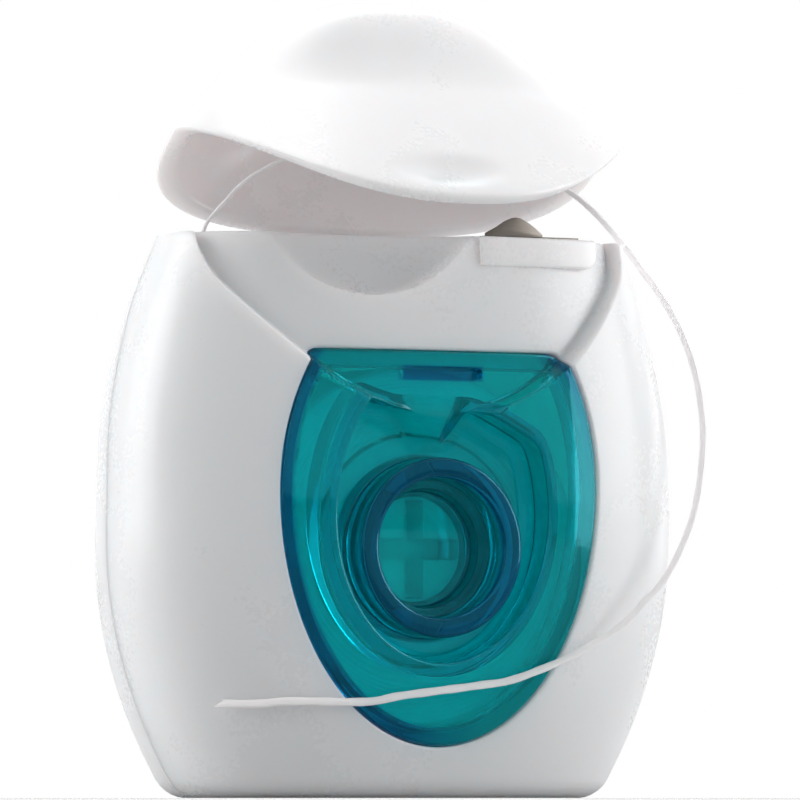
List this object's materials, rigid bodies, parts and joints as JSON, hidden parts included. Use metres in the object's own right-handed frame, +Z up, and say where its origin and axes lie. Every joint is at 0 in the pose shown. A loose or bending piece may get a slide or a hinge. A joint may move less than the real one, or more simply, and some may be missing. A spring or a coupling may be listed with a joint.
{
  "type": "dental floss dispenser",
  "caption": "Flip-top dental floss dispenser with a barrel-shaped white case, clear window, wound floss bobbin, metal cutter and a strand drawn out of the open lid.",
  "frame": {"origin": "middle of the flat base, at the height the case stands on", "axes": "+Z up, -Y out of the front with the window, +X to the right seen from the front"},
  "size_m": [0.0547, 0.0285, 0.0697],
  "materials": {
    "case_plastic": "smooth moulded gloss",
    "window_plastic": "clear tinted, polished",
    "cutter_steel": "stamped strip, dull",
    "bobbin_plastic": "natural moulded",
    "waxed_floss": "waxed flat ribbon"
  },
  "bodies": {
    "case": {"front_shell": "case_plastic", "rear_shell": "case_plastic", "window": "window_plastic", "hinge_film": "case_plastic", "cutter": "cutter_steel", "floss_lead": "waxed_floss", "floss_loop": "waxed_floss", "floss_tail": "waxed_floss"},
    "lid": {"lid": "case_plastic"},
    "spool": {"bobbin": "bobbin_plastic", "floss_core": "waxed_floss", "floss_winding": "waxed_floss"}
  },
  "joints": [
    {"name": "lid_hinge", "type": "hinge", "parent": "case", "child": "lid", "pos_m": [0, 0.0092, 0.04915], "axis": [-1, 0, 0], "range_deg": [-41.5, 72], "deforming": ["floss_loop"]},
    {"name": "spool_spin", "type": "hinge", "parent": "case", "child": "spool", "pos_m": [0, 0, 0.0217], "axis": [0, 1, 0], "continuous": true}
  ]
}
